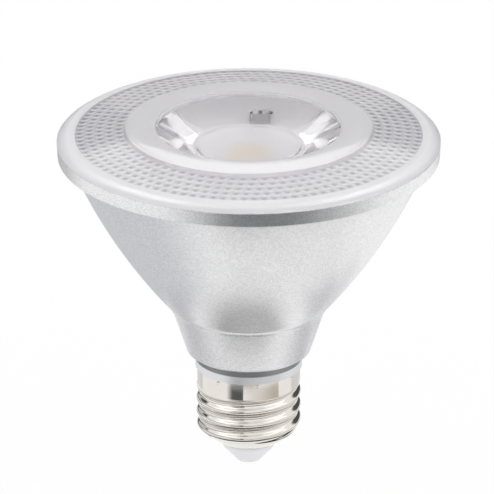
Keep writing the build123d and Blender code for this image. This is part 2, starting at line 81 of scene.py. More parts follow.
def colour(name, description, default):
    """A colour that a user may change."""
    return FloatVectorProperty(
        name=name, description=description, default=default, subtype="COLOR", min=0, max=1
    )


def factor(name, description, default):
    """A share from 0 to 1 that a user may change."""
    return FloatProperty(name=name, description=description, default=default, subtype="FACTOR", min=0, max=1)


def bearing(name, description, degrees):
    """An angle that a user may change."""
    return FloatProperty(name=name, description=description, default=math.radians(degrees), subtype="ANGLE")


def watts(name, description, default):
    """A lamp's power that a user may change."""
    return FloatProperty(name=name, description=description, default=default, unit="POWER")


def number(name, description, default):
    """A number of like things that a user may change."""
    return IntProperty(name=name, description=description, default=default, subtype="UNSIGNED", min=1)


class LampBodySizes(bpy.types.PropertyGroup):
    """Section of the silver body."""

    wall: length("Wall", "Thickness of the painted wall", 1.8)
    neck_radius: length("Neck radius", "Radius of the neck's lower edge", 15.4)
    neck_round: length("Neck rounding", "Rounding of the neck's lower edge", 1.6)
    crease_radius: length("Crease radius", "Radius where the neck meets the bowl", 19.45)
    crease_height: length("Crease height", "Height where the neck meets the bowl", 43.2)
    crease_round: length("Crease rounding", "Rounding of the hollow crease", 4.0)
    bowl_radius: length("Bowl radius", "Radius of the bowl below the rim band", 44.2)
    bowl_bulge: length("Bowl bulge", "How far the bowl's wall bows outwards", 1.9)
    band_height: length("Band height", "Height of the rim band", 3.8)
    band_draft: length("Band draft", "How much the rim band narrows downwards", 0.2)
    band_round: length("Band rounding", "Rounding of the band's lower edge", 0.3)
    land_radius: length("Land radius", "Radius of the narrow land under the band", 44.9)
    land_height: length("Land height", "Height of the narrow land under the band", 0.8)
    rim_gap: length("Rim gap", "Hairline gap between the rim and the lens", 0.04)
    neck_bore: length("Neck bore", "Radius of the hole in the neck", 14.3)
    collar_height: length("Collar height", "Height of the pale collar that shows above the shell", 2.0)


class LensSizes(bpy.types.PropertyGroup):
    """Section of the clear front lens, and its pillows."""

    edge_height: length("Edge height", "Height of the rounded edge", 1.35)
    edge_width: length("Edge width", "Width of the rounded edge", 3.0)
    edge_bulge: length("Edge bulge", "How far the rounded edge bows outwards", 0.35)
    thickness: length("Thickness", "Thickness of the front wall by the window", 2.2)
    edge_thickness: length("Edge thickness", "Thickness of the front wall at its edge", 1.0)
    cone_lead: length("Cone lead", "Width of the plain cone inside the pillow rings", 1.3)
    cone_round: length("Cone rounding", "Radius of the bend from the flat ring to the cone", 14.0)
    window_radius: length("Window radius", "Radius of the recessed window", 22.9)
    window_depth: length("Window depth", "Depth of the recessed window", 1.1)
    window_round: length("Window rounding", "Rounding of the window's rim", 0.35)
    skirt_width: length("Skirt width", "Wall of the skirt inside the rim", 1.6)
    skirt_gap: length("Skirt gap", "Gap between the skirt and the body", 0.1)
    collimator_land: length("Collimator land", "Step from the window to the collimator's wall", 0.4)
    collimator_bulge: length("Collimator bulge", "How far the collimator's wall bows outwards", 0.3)
    foot_radius: length("Foot radius", "Radius of the collimator's foot", 13.9)
    facets: number("Facets", "Flats round the collimator's wall", 64)
    cavity_radius: length("Cavity radius", "Radius of the cavity's mouth", 13.2)
    cavity_taper: length("Cavity taper", "How much the cavity narrows upwards", 0.2)
    cavity_height: length("Cavity height", "Height of the cavity's wall", 2.0)
    cavity_lens: length("Cavity lens", "Height of the small lens in the cavity", 0.4)
    pillow_margin: length("Pillow margin", "Plain width outside the pillow rings", 1.5)
    pillow_pitch: length("Pillow pitch", "Distance between pillow rings", 2.48)
    pillow_width: length("Pillow width", "Half the width of one pillow, across its ring", 1.15)
    pillow_length: length("Pillow length", "Half the length of one pillow, along its ring", 1.2)
    pillow_height: length("Pillow height", "Height of one pillow", 0.45)
    pillow_rings: number("Pillow rings", "Number of pillow rings", 5)
    pillow_count: number("Pillows", "Pillows in the innermost ring", 78)
    pillow_step: number("Pillow step", "Pillows that each ring has more", 7)
    # Place and reach of the painted shade spot on each pillow.
    shade_spot_back: factor("Spot place", "How far behind a pillow's middle its dark spot lies, in pillows", 0.30)
    shade_spot_width: factor("Spot width", "Reach of the dark spot from side to side, in pillows", 0.55)
    shade_spot_depth: factor("Spot depth", "Reach of the dark spot from front to back, in pillows", 0.34)


class ShellSizes(bpy.types.PropertyGroup):
    """Section of the rolled screw shell, and its thread."""

    wall: length("Wall", "Thickness of the sheet", 0.3)
    lip_radius: length("Lip radius", "Radius of the hole at the tip", 7.1)
    cone_radius: length("Cone radius", "Radius that the cone would reach at the thread's foot", 12.6)
    cone_height: length("Cone height", "Height of the cone", 4.3)
    cone_bulge: length("Cone bulge", "How far the cone bows outwards", 0.35)
    cone_blend: length("Cone blend", "Softness of the bend from the cone to the thread", 0.25)
    crest_radius: length("Crest radius", "Radius over the thread's crests", 13.15)
    depth: length("Thread depth", "Depth from crest to root", 1.0)
    pitch: length("Pitch", "Pitch of the thread", 25.4 / 7)
    crest_height: length("Crest height", "Height of a crest on the +X side", 12.44)
    collar_radius: length("Collar radius", "Radius of the plain collar", 12.95)
    collar_height: length("Collar height", "Height of the plain collar", 5.0)
    runout: length("Run-out", "Height over which the thread fades into the collar", 1.0)
    stake_radius: length("Stake radius", "Radius of one stake mark", 0.6)
    stake_drop: length("Stake drop", "Distance of the stake marks below the shell's edge", 0.6)
    stake_stand: length("Stake stand", "How far the punch's middle stands off the collar", 0.27)
    stakes: number("Stakes", "Stake marks round the collar", 8)
    stake_turn: bearing("Stake turn", "Turn of the stake marks", 9)


class FinishColours(bpy.types.PropertyGroup):
    """Colours of the visible finishes."""

    silver: colour("Silver paint", "Paint of the body", (0.89, 0.892, 0.90))
    nickel: colour("Nickel", "Plating of the shell and the contact", (0.80, 0.765, 0.715))
    clear: colour("Clear lens", "Tint of the clear moulding's skin", (0.985, 0.983, 0.99))
    depth: colour("Lens depth", "Tint that long paths through the clear moulding take", (0.957, 0.952, 0.963))
    # Painted shade: the pale grey ground between the pillows stands in for the shade between them.
    pillow_gap_shade: colour("Pillow gaps", "Pale ground between the lens's pillows", (0.80, 0.80, 0.82))
    # Painted shade: the dark spot on each pillow's far side stands in for the shade of a pillow lit from the
    # front.
    pillow_shade_spot: colour("Pillow spots", "Dark spot on the far side of each pillow", (0.32, 0.32, 0.34))
    collar: colour("Collar", "Grey of the collar", (0.78, 0.79, 0.80))
    # Painted shade: the shoulder is darker as if shaded by the neck's overhang.
    shoulder: colour("Shoulder", "Darker grey of the shoulder under the neck", (0.28, 0.29, 0.30))
    insulator: colour("Insulator", "Pale moulding at the tip", (0.95, 0.95, 0.99))
    pan: colour("Pan", "Bright pan behind the lens", (0.97, 0.965, 0.955))
    board: colour("Board", "White of the LED board", (0.94, 0.94, 0.93))
    phosphor: colour("Phosphor", "Yellow of the LED's disc", (0.95, 0.74, 0.40))


class StudioSettings(bpy.types.PropertyGroup):
    """Camera, floor and light."""

    camera_distance: length("Camera distance", "Distance of the camera from the lamp", 1600.0)
    camera_tilt: bearing("Camera tilt", "Angle of the camera above the floor", 23.218)
    centre_height: length("Centre height", "Point of the axis that the distance is measured to", 50.0)
    aim_height: length("Aim height", "Height that the camera looks at", 58.56)
    aim_side: length("Aim side", "Sideways offset that the camera looks at", -0.43)
    lens: FloatProperty(
        name="Focal length", description="Camera lens in millimetres", default=466.3, unit="CAMERA"
    )
    floor_side: length("Floor side", "Side of the square floor", 6000.0)
    sky: factor("Sky", "Strength of the soft light from all round", 0.82)
    key: watts("Key light", "Power of the large lamp at the left", 1.7)
    key_balance: factor("Key balance", "Power of the lamp at the right against the one at the left", 0.8)
    back: watts("Back light", "Power of the large lamp behind", 5.0)


class LampSettings(bpy.types.PropertyGroup):
    """All settings of the lamp."""

    body: PointerProperty(type=LampBodySizes)
    lens: PointerProperty(type=LensSizes)
    shell: PointerProperty(type=ShellSizes)
    finish: PointerProperty(type=FinishColours)
    studio: PointerProperty(type=StudioSettings)


def settings():
    """The lamp's settings on the scene."""
    return bpy.context.scene.lamp_settings


# Section curves, as lists of (radius, height) points


def arc_points(start, end, sagitta, steps=24):
    """Points on an arc from start to end that bows by sagitta to the right of that way, without the start."""
    if not sagitta:
        return [end]
    (x0, z0), (x1, z1) = start, end
    chord = math.hypot(x1 - x0, z1 - z0)
    along = ((x1 - x0) / chord, (z1 - z0) / chord)
    right = (along[1], -along[0])
    radius = (chord**2 / 4 + sagitta**2) / (2 * abs(sagitta))
    half = 2 * math.atan2(2 * abs(sagitta), chord)
    sign = math.copysign(1, sagitta)
    points = []
    for step in range(1, steps + 1):
        angle = half * (2 * step / steps - 1)
        run = chord / 2 + radius * math.sin(angle)
        rise = sign * (radius * math.cos(angle) - radius * math.cos(half))
        points.append((x0 + along[0] * run + right[0] * rise, z0 + along[1] * run + right[1] * rise))
    return points


def round_corner(before, corner, after, radius, steps=6):
    """Points that round a corner of a section with the given radius."""
    to_before = Vector(before) - Vector(corner)
    to_after = Vector(after) - Vector(corner)
    half = to_before.angle(to_after) / 2
    most = 0.49 * min(to_before.length, to_after.length)
    reach = min(radius / math.tan(half), most)
    start = Vector(corner) + to_before.normalized() * reach
    end = Vector(corner) + to_after.normalized() * reach
    sagitta = reach * math.tan(half) * (1 - math.sin(half))
    turn = to_before.x * to_after.y - to_before.y * to_after.x
    return [tuple(start), *arc_points(start, end, math.copysign(sagitta, turn), steps)]


def rounded(outline, radii):
    """A closed outline with some corners rounded: radii maps a corner's index to its radius."""
    points = []
    for index, corner in enumerate(outline):
        if index in radii:
            after = outline[(index + 1) % len(outline)]
            points += round_corner(outline[index - 1], corner, after, radii[index])
        else:
            points.append(corner)
    return points


# Objects


def linked(name, data):
    """A new object in the scene for a mesh, a light or a camera."""
    piece = bpy.data.objects.new(name, data)
    bpy.context.scene.collection.objects.link(piece)
    return piece


def ring_solid(name, rings):
    """A new object: rings of points joined by smooth faces, the last to the first. One point makes a pole."""
    shape = bmesh.new()
    segments = max(len(ring) for ring in rings)
    loops = []
    for ring in rings:
        verts = [shape.verts.new(point) for point in ring]
        loops.append(verts * (segments // len(verts)))
    for lower, upper in zip(loops, loops[1:] + loops[:1]):
        for step in range(segments):
            after = (step + 1) % segments
            corners = list(dict.fromkeys((lower[step], lower[after], upper[after], upper[step])))
            if len(corners) > 2:
                shape.faces.new(corners)
    bmesh.ops.recalc_face_normals(shape, faces=shape.faces)
    for face in shape.faces:
        face.smooth = True
    mesh = bpy.data.meshes.new(name)
    shape.to_mesh(mesh)
    shape.free()
    return linked(name, mesh)


def turned(name, section, segments, faceted=(), sides=1):
    """A new object: a closed section of (radius, height) points turned round the axis, some in flats."""
    half_side = math.pi / sides
    rings = []
    for point in section:
        radius, height = point
        ring = []
        for step in range(segments):
            angle = 2 * math.pi * step / segments
            reach = radius
            if point in faceted:
                from_middle = (angle + half_side) % (2 * half_side) - half_side
                reach *= math.cos(half_side) / math.cos(from_middle)
            ring.append((reach * math.cos(angle), reach * math.sin(angle), height))
        rings.append(ring if radius > ON_AXIS else [(0, 0, height)])
    return ring_solid(name, rings)


def dress(piece, finish):
    """Gives a piece its finish."""
    piece.data.materials.clear()
    piece.data.materials.append(finish)


def dress_solids(finishes):
    """Gives carried-over solids their finishes, by node."""
    for node, finish in finishes.items():
        dress(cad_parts[node], finish)


def seat(piece, node):
    """Puts a piece in a solid's place."""
    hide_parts(node)
    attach(piece, BODY)


def sharpen(mesh, degrees):
    """Makes a mesh smooth, with sharp edges where it turns by more than an angle."""
    mesh.shade_smooth()
    mesh.set_sharp_from_angle(angle=math.radians(degrees))


def sharpen_facets(mesh, degrees, radius, top):
    """Also marks the shallow edges between facets as sharp, inside a radius and below a height."""
    shape = bmesh.new()
    shape.from_mesh(mesh)
    for edge in shape.edges:
        middle = (edge.verts[0].co + edge.verts[1].co) / 2
        inside = math.hypot(middle.x, middle.y) < radius and middle.z < top
        if inside and edge.calc_face_angle(0) > math.radians(degrees):
            edge.smooth = False
    shape.to_mesh(mesh)
    shape.free()


# Node trees


def set_inputs(tree, node, inputs):
    """Sets or links a node's inputs, by name or index. A node stands for its first output."""
    for name, value in inputs.items():
        if isinstance(value, SOURCES):
            source = value.outputs[0] if isinstance(value, bpy.types.Node) else value
            tree.links.new(source, node.inputs[name])
        else:
            node.inputs[name].default_value = value


def add_node(tree, kind, inputs=None, **values):
    """A new node with its properties and inputs."""
    node = tree.nodes.new(kind)
    for name, value in values.items():
        setattr(node, name, value)
    set_inputs(tree, node, inputs or {})
    return node


def reckon(tree, operation, *values):
    """A math node on some values."""
    return add_node(tree, "ShaderNodeMath", dict(enumerate(values)), operation=operation)


def reckon_vector(tree, operation, *values):
    """A vector math node on some vectors."""
    return add_node(tree, "ShaderNodeVectorMath", dict(enumerate(values)), operation=operation)


def axis_distance(tree, place):
    """How far a place is from the lamp's axis."""
    flat = reckon_vector(tree, "MULTIPLY", place, (1, 1, 0))
    return reckon_vector(tree, "LENGTH", flat).outputs["Value"]


def spread(tree, value, low, high):
    """A value from 0 to 1 spread over a range."""
    return add_node(tree, "ShaderNodeMapRange", {"Value": value, "To Min": low, "To Max": high})


def passed(tree, value, start, end):
    """How far a value has come from start to end, from 0 to 1."""
    return add_node(tree, "ShaderNodeMapRange", {"Value": value, "From Min": start, "From Max": end})


def tint(tree, value, first, second):
    """A mix of two colours, or sockets that give them, by a value from 0 to 1."""
    ends = [end if isinstance(end, SOURCES) else (*end, 1) for end in (first, second)]
    return add_node(tree, "ShaderNodeMix", {0: value, 6: ends[0], 7: ends[1]}, data_type="RGBA").outputs[2]


def grain(tree, place, size, detail=2.0):
    """Fine even noise of about the given size, from 0 to 1."""
    inputs = {"Vector": place, "Scale": 1 / size, "Detail": detail, "Roughness": 0.55}
    return add_node(tree, "ShaderNodeTexNoise", inputs)


def relief(tree, height, depth):
    """A normal with bump of the given depth in metres."""
    return add_node(tree, "ShaderNodeBump", {"Height": height, "Strength": 0.6, "Distance": depth})


def shade(base, strength):
    """A colour made darker or lighter."""
    return tuple(min(1.0, channel * strength) for channel in base)


# Finishes


def new_material(name):
    """A new material and its node tree."""
    material = bpy.data.materials.new(name)
    material.use_nodes = True
    return material, material.node_tree


def new_finish(name):
    """A new material: itself, its node tree and its Object coordinates."""
    material, tree = new_material(name)
    return material, tree, add_node(tree, "ShaderNodeTexCoord").outputs["Object"]


def surfaced(material, inputs):
    """Sets inputs of a material's Principled shader, and returns the material."""
    tree = material.node_tree
    set_inputs(tree, tree.nodes["Principled BSDF"], inputs)
    return material


def moulded(name, base, gloss, size=0.4 * MM, depth=0.01 * MM, vary=0.05, metal=0.0):
    """A moulded, dipped or plated finish: a mottled colour, uneven gloss and a fine skin."""
    material, tree, place = new_finish(name)
    fine = grain(tree, place, size)
    cloud = grain(tree, place, size * 12)
    skin = {
        "Base Color": tint(tree, cloud, shade(base, 1 - vary), shade(base, 1 + vary)),
        "Roughness": spread(tree, fine, gloss * 0.85, gloss * 1.15),
        "Metallic": metal,
        "Normal": relief(tree, fine, depth),
    }
    return surfaced(material, skin)


def silver_paint(base, flake_size=0.22 * MM, contrast=0.16):
    """Satin silver paint: fine bright and dark metal flake under a soft skin."""
    material, tree, place = new_finish("silver_paint")
    flake = add_node(tree, "ShaderNodeTexVoronoi", {"Vector": place, "Scale": 1 / flake_size})
    speck = add_node(tree, "ShaderNodeSeparateColor", {"Color": flake.outputs["Color"]})
    skin = {
        "Base Color": tint(tree, speck, shade(base, 1 - contrast), shade(base, 1 + contrast)),
        "Roughness": spread(tree, grain(tree, place, 6 * MM), low=0.30, high=0.37),
        "Metallic": 0.85,
        "Normal": relief(tree, grain(tree, place, 0.35 * MM), depth=0.02 * MM),
    }
    return surfaced(material, skin)


def bright_nickel(base, mark_stretch=14):
    """Bright nickel plate with faint rolling marks and a soft bloom."""
    material, tree, place = new_finish("bright_nickel")
    marks = add_node(tree, "ShaderNodeMapping", {"Vector": place, "Scale": (1, 1, mark_stretch)})
    rolled = grain(tree, marks, 5 * MM, detail=4.0)
    bloom = grain(tree, place, 3 * MM)
    skin = {
        "Base Color": tint(tree, bloom, shade(base, 0.95), shade(base, 1.04)),
        "Roughness": spread(tree, rolled, low=0.05, high=0.13),
        "Metallic": 1.0,
        "Normal": relief(tree, rolled, depth=0.004 * MM),
    }
    return surfaced(material, skin)


def driver_grey(collar, shoulder, step, blend=0.1 * MM):
    """Satin grey plastic with painted shade above the collar, where the shoulder lies under the neck's
    overhang.
    """
    material, tree, place = new_finish("driver_grey")
    height = add_node(tree, "ShaderNodeSeparateXYZ", {"Vector": place}).outputs["Z"]
    fine = grain(tree, place, 0.4 * MM)
    skin = {
        # Painted shade above the collar step.
        "Base Color": tint(tree, passed(tree, height, step - blend, step + blend), collar, shoulder),
        "Roughness": spread(tree, fine, low=0.30, high=0.40),
        "Metallic": 0.85,
        "Normal": relief(tree, fine, depth=0.01 * MM),
    }
    return surfaced(material, skin)


def clear_moulding(name, base, tone, roughness, clarity, skin=0.3 * MM, polish=0.0):
    """Clear moulded plastic with a faint ripple of the mould, smooth or frosted, clear or milky."""
    material, tree, place = new_finish(name)
    ripple = grain(tree, place, skin)
    surface = {
        "Base Color": tint(tree, ripple, shade(base, 0.985), base),
        "Roughness": roughness,
        "IOR": 1.5,
        "Transmission Weight": clarity,
        "Normal": relief(tree, ripple, depth=0.002 * MM),
    }
    if polish:
        surface |= {"Coat Weight": polish, "Specular IOR Level": 0.0}
    body = add_node(tree, "ShaderNodeVolumeAbsorption", {"Color": (*tone, 1), "Density": 10.0})
    set_inputs(tree, tree.nodes["Material Output"], {"Volume": body})
    return surfaced(material, surface)


def pillow_moulding(colours, size, start, underside):
    """Milky moulded pillows with pale grey painted shade in the gaps between them, and a dark painted shade
    spot on each pillow's side away from the front.

    The rings begin at the start radius, on a cone whose height at a radius the underside gives.
    """
    material = clear_moulding("clear_pillows", colours.clear, colours.depth, roughness=0.04, clarity=0.24)
    tree = material.node_tree
    place = tree.nodes["Texture Coordinate"].outputs["Object"]
    own = add_node(tree, "ShaderNodeSeparateXYZ", {"Vector": place}).outputs
    radius = axis_distance(tree, place)
    slope = (underside(MM) - underside(0)) / MM
    level = reckon(tree, "MULTIPLY_ADD", radius, slope, underside(0))
    drop = reckon(tree, "SUBTRACT", level, own["Z"])
    clear_drop = 0.35 * size.pillow_height
    # Painted shade: the flat ground between the pillows takes the gap colour, fading to clear towards each
    # crown.
    gap_shaded = tint(tree, passed(tree, drop, 0.0, clear_drop), colours.pillow_gap_shade, colours.clear)
    angle = reckon(tree, "ARCTAN2", own["Y"], own["X"])
    across = reckon(tree, "DIVIDE", reckon(tree, "SUBTRACT", radius, start), size.pillow_pitch)
    ring = reckon(tree, "FLOOR", across)
    count = reckon(tree, "MULTIPLY_ADD", ring, float(size.pillow_step), float(size.pillow_count))
    along = reckon(tree, "MULTIPLY", reckon(tree, "DIVIDE", angle, 2 * math.pi), count)
    cell = {
        "X": reckon(tree, "SUBTRACT", reckon(tree, "FRACT", across), 0.5),
        "Y": reckon(tree, "SUBTRACT", along, reckon(tree, "ROUND", along)),
    }
    offset = {"Vector": add_node(tree, "ShaderNodeCombineXYZ", cell), "Angle": angle}
    from_middle = add_node(tree, "ShaderNodeVectorRotate", offset, rotation_type="Z_AXIS")
    # Painted shade: a dark spot towards +Y on each pillow, away from the front, as if each were lit from the
    # front.
    from_shade_spot = reckon_vector(tree, "SUBTRACT", from_middle, (0, size.shade_spot_back, 0))
    in_reaches = reckon_vector(tree, "DIVIDE", from_shade_spot, (size.shade_spot_width, size.shade_spot_depth, 1))
    away = reckon_vector(tree, "LENGTH", in_reaches).outputs["Value"]
    painted_shade = tint(tree, passed(tree, away, 1.0, 0.0), gap_shaded, colours.pillow_shade_spot)
    return surfaced(material, {"Base Color": painted_shade})


def lens_finishes(colours):
    """The lens's finishes but for its pillows, by name."""
    clear = colours.clear
    finishes = {
        "clear_lens": {"base": clear, "roughness": 0.0, "clarity": 0.97, "skin": 4 * MM},
        "frosted_band": {"base": shade(clear, 0.95), "roughness": 0.2, "clarity": 0.6, "polish": 1.0},
        "misty_edge": {"base": clear, "roughness": 0.3, "clarity": 0.5},
        "soft_underside": {"base": clear, "roughness": 0.03, "clarity": 0.97},
        "satin_cone": {"base": clear, "roughness": 0.12, "clarity": 0.99},
        "satin_cavity": {"base": clear, "roughness": 0.3, "clarity": 0.7},
    }
    return {name: clear_moulding(name, tone=colours.depth, **look) for name, look in finishes.items()}


# Pieces


class LampOperator:
    """What the lamp's operators share."""

    bl_options = {"REGISTER", "UNDO"}


class LAMP_OT_body(LampOperator, bpy.types.Operator):
    """Build the silver painted body: neck, bowl and rim band"""

    bl_idname = "lamp.body"
    bl_label = "Silver body"

    def execute(self, context):
        size = settings().body
        rim = housing_high.x
        low, high = housing_low.z, housing_high.z - size.rim_gap
        band_low = housing_high.z - size.band_height
        ledge = band_low + size.wall
        neck = (size.neck_radius, low)
        crease = (size.crease_radius, size.crease_height)
        bowl_top = (size.bowl_radius, band_low - size.land_height)
        land = [(size.land_radius, band_low - 0.7 * size.land_height), (size.land_radius, band_low)]
        band_corner = (rim - size.band_draft, band_low)
        bowl = [*arc_points(crease, bowl_top, size.bowl_bulge), *land]
        outer = [neck, crease, *bowl, band_corner, (rim, high), (rim - size.wall, high)]
        inner_top = (size.bowl_radius - size.wall, ledge)
        inner_crease = (size.crease_radius - size.wall, size.crease_height + 0.4 * size.wall)
        inner_neck = (size.neck_bore, low + size.wall)
        inner = [(rim - size.wall, ledge), inner_top, *arc_points(inner_top, inner_crease, -size.bowl_bulge)]
        outline = [*outer, *inner, inner_neck, (size.neck_bore, low)]
        corners = {
            0: size.neck_round,
            1: size.crease_round,
            len(bowl): 0.5 * size.band_round,
            len(bowl) + 2: size.band_round,
            len(bowl) + 3: 0.5 * size.band_round,
        }
        piece = turned("lamp_body", rounded(outline, corners), BODY_SEGMENTS)
        sharpen(piece.data, degrees=35)
        dress(piece, silver_paint(settings().finish.silver))
        seat(piece, "housing")
        return {"FINISHED"}


def geometry_tree(name, **sockets):
    """A geometry node tree with named inputs: itself, its input sockets, and their values by identifier."""
    tree = bpy.data.node_groups.new(name, "GeometryNodeTree")
    tree.interface.new_socket("Geometry", in_out="INPUT", socket_type="NodeSocketGeometry")
    values = {}
    for socket_name, value in sockets.items():
        kind = "NodeSocketInt" if isinstance(value, int) else "NodeSocketFloat"
        socket = tree.interface.new_socket(socket_name, in_out="INPUT", socket_type=kind)
        values[socket.identifier] = value
    tree.interface.new_socket("Geometry", in_out="OUTPUT", socket_type="NodeSocketGeometry")
    return tree, add_node(tree, "NodeGroupInput").outputs, values


def dressed_zone(tree, geometry, finish, ranges):
    """Sets a finish on faces whose values lie in ranges: (value, low, high), with None for an open end."""
    selection = None
    for value, low, high in ranges:
        for comparison, limit in (("GREATER_THAN", low), ("LESS_THAN", high)):
            if limit is None:
                continue
            test = add_node(tree, "FunctionNodeCompare", {0: value, 1: limit}, operation=comparison)
            if selection is not None:
                test = add_node(tree, "FunctionNodeBooleanMath", {0: selection, 1: test}, operation="AND")
            selection = test
    inputs = {"Geometry": geometry, "Selection": selection, "Material": finish}
    return add_node(tree, "GeometryNodeSetMaterial", inputs)


def pillow_tree(size, start, underside, finishes, zones):
    """Geometry nodes that add rings of pillows under the lens and dress its zones.

    A zone has the (low, high) ranges of its radius and its height.
    """
    tree, inputs, values = geometry_tree(
        "pillow_rings",
        Pillow_Width=size.pillow_width,
        Pillow_Length=size.pillow_length,
        Pillow_Height=size.pillow_height,
    )
    points = add_node(tree, "GeometryNodeJoinGeometry")
    for ring in range(size.pillow_rings):
        radius = start + (ring + 0.5) * size.pillow_pitch
        count = size.pillow_count + ring * size.pillow_step
        circle = add_node(tree, "GeometryNodeMeshCircle", {"Vertices": count, "Radius": radius})
        place = {"Geometry": circle, "Translation": (0, 0, underside(radius))}
        set_inputs(tree, points, {"Geometry": add_node(tree, "GeometryNodeTransform", place)})
    position = add_node(tree, "GeometryNodeInputPosition")
    own = add_node(tree, "ShaderNodeSeparateXYZ", {"Vector": position}).outputs
    ball = add_node(tree, "GeometryNodeMeshUVSphere", {"Segments": 10, "Rings": 8, "Radius": 1.0})
    bowed = reckon(tree, "MULTIPLY", own["Z"], reckon(tree, "ABSOLUTE", own["Z"]))
    flatter = add_node(tree, "ShaderNodeCombineXYZ", {"X": own["X"], "Y": own["Y"], "Z": bowed})
    pillow = add_node(tree, "GeometryNodeSetPosition", {"Geometry": ball, "Position": flatter})
    axes = {"X": inputs["Pillow_Width"], "Y": inputs["Pillow_Length"], "Z": inputs["Pillow_Height"]}
    scale = add_node(tree, "ShaderNodeCombineXYZ", axes)
    outward = add_node(
        tree, "FunctionNodeAlignRotationToVector", {"Vector": position}, axis="X", pivot_axis="Z"
    )
    copies = {"Points": points, "Instance": pillow, "Rotation": outward, "Scale": scale}
    placed = add_node(tree, "GeometryNodeInstanceOnPoints", copies)
    pillows = add_node(tree, "GeometryNodeRealizeInstances", {"Geometry": placed})
    joined = add_node(
        tree, "GeometryNodeMeshBoolean", {"Mesh 2": inputs["Geometry"]}, operation="UNION", solver="MANIFOLD"
    )
    set_inputs(tree, joined, {"Mesh 2": pillows})
    real = add_node(tree, "GeometryNodeRealizeInstances", {"Geometry": joined})
    whole = {"Geometry": real, "Material": finishes["clear_lens"]}
    geometry = add_node(tree, "GeometryNodeSetMaterial", whole)
    distance = axis_distance(tree, position)
    for name, (radii, heights) in zones.items():
        geometry = dressed_zone(tree, geometry, finishes[name], ((distance, *radii), (own["Z"], *heights)))
    add_node(tree, "NodeGroupOutput", {"Geometry": geometry})
    return tree, values


def grown(piece, tree, values):
    """Runs a geometry node tree on a piece and leaves the result as its plain mesh."""
    modifier = piece.modifiers.new(tree.name, "NODES")
    modifier.node_group = tree
    for identifier, value in values.items():
        modifier[identifier] = value
    depsgraph = bpy.context.evaluated_depsgraph_get()
    mesh = bpy.data.meshes.new_from_object(piece.evaluated_get(depsgraph))
    piece.modifiers.remove(modifier)
    old = piece.data
    mesh.name = piece.name
    piece.data = mesh
    bpy.data.meshes.remove(old)


class LAMP_OT_lens(LampOperator, bpy.types.Operator):
    """Build the clear front lens with its pillow rings, window and collimator"""

    bl_idname = "lamp.lens"
    bl_label = "Front lens"

    def execute(self, context):
        size = settings().lens
        finish = settings().finish
        rim = lens_high.x
        crown = lens_high.z
        foot = lens_low.z
        seat_height = housing_high.z
        edge_radius = rim - size.edge_width
        edge_height = seat_height + size.edge_height
        pillow_end = edge_radius - size.pillow_margin
        pillow_start = pillow_end - size.pillow_rings * size.pillow_pitch
        cone_start = pillow_start - size.cone_lead
        cone_fall = (crown - edge_height) / (edge_radius - cone_start)
        window = crown - size.window_depth
        skirt = rim - settings().body.wall - size.skirt_gap
        skirt_bore = skirt - size.skirt_width
        skirt_low = pan_high.z + size.skirt_gap
        wall_top_radius = size.window_radius + size.collimator_land
        wall_top = (wall_top_radius, crown - size.thickness)
        wall_edge = (skirt_bore, edge_height - size.edge_thickness)

        def underside(radius):
            share = (radius - wall_top[0]) / (wall_edge[0] - wall_top[0])
            return wall_top[1] + (wall_edge[1] - wall_top[1]) * share

        wall_foot = (size.foot_radius, foot)
        cavity_top = (size.cavity_radius - size.cavity_taper, foot + size.cavity_height)
        cavity_crown = (0, cavity_top[1] - size.cavity_lens)
        cavity_sagitta = -size.cavity_lens / 4
        ring = [(size.window_radius, window), (size.window_radius, crown), (cone_start, crown)]
        edge = arc_points((edge_radius, edge_height), (rim, seat_height), -size.edge_bulge, 12)
        lead_end = (pillow_start, crown - cone_fall * size.cone_lead)
        margin_start = (pillow_end, edge_height + cone_fall * size.pillow_margin)
        outline = [(0, window), *ring, lead_end, margin_start, (edge_radius, edge_height), *edge]
        outline += [(skirt, seat_height), (skirt, skirt_low), (skirt_bore, skirt_low), wall_edge]
        outline += [(radius, underside(radius)) for radius in (pillow_end, pillow_start)]
        wall = [wall_top, *arc_points(wall_top, wall_foot, -size.collimator_bulge, 24)]
        outline += [*wall, (size.cavity_radius, foot), cavity_top]
        outline += arc_points(cavity_top, cavity_crown, cavity_sagitta, 16)
        section = rounded(outline, {2: size.window_round, 3: size.cone_round})
        piece = turned("clear_lens", section, 3 * size.facets, faceted=set(wall), sides=size.facets)
        band = (size.window_radius - size.window_round, pillow_start)
        rings = (pillow_start, pillow_end)
        inside_skirt = (wall_top_radius + size.skirt_gap, skirt_bore - size.skirt_gap)
        cavity = (None, size.cavity_radius - 2 * size.cavity_taper)
        zones = {
            "frosted_band": (band, (window + 0.05 * size.window_depth, None)),
            "misty_edge": ((pillow_end, None), (seat_height, None)),
            "soft_underside": (inside_skirt, (None, edge_height)),
            "clear_pillows": (rings, (None, edge_height)),
            "satin_cone": (rings, (edge_height, None)),
            "satin_cavity": (cavity, (None, cavity_top[1] + size.window_round)),
        }
        finishes = lens_finishes(finish)
        finishes["clear_pillows"] = pillow_moulding(finish, size, pillow_start, underside)
        grown(piece, *pillow_tree(size, pillow_start, underside, finishes, zones))
        sharpen(piece.data, degrees=30)
        sharpen_facets(piece.data, 4, wall_top_radius + size.window_round, wall_top[1])
        seat(piece, "front_lens")
        return {"FINISHED"}


def thread_wave(size, share):
    """Height of the rounded thread at a share of its pitch, 1 at the crest and 0 at the root."""
    share = abs((share + 0.5) % 1 - 0.5)
    quarter, half_depth = size.pitch / 4, size.depth / 2
    radius = (quarter**2 + half_depth**2) / (2 * half_depth)
    from_tip = min(share, 0.5 - share) * size.pitch
    dip = (radius - math.sqrt(radius**2 - from_tip**2)) / size.depth
    return 1 - dip if share < 0.25 else dip


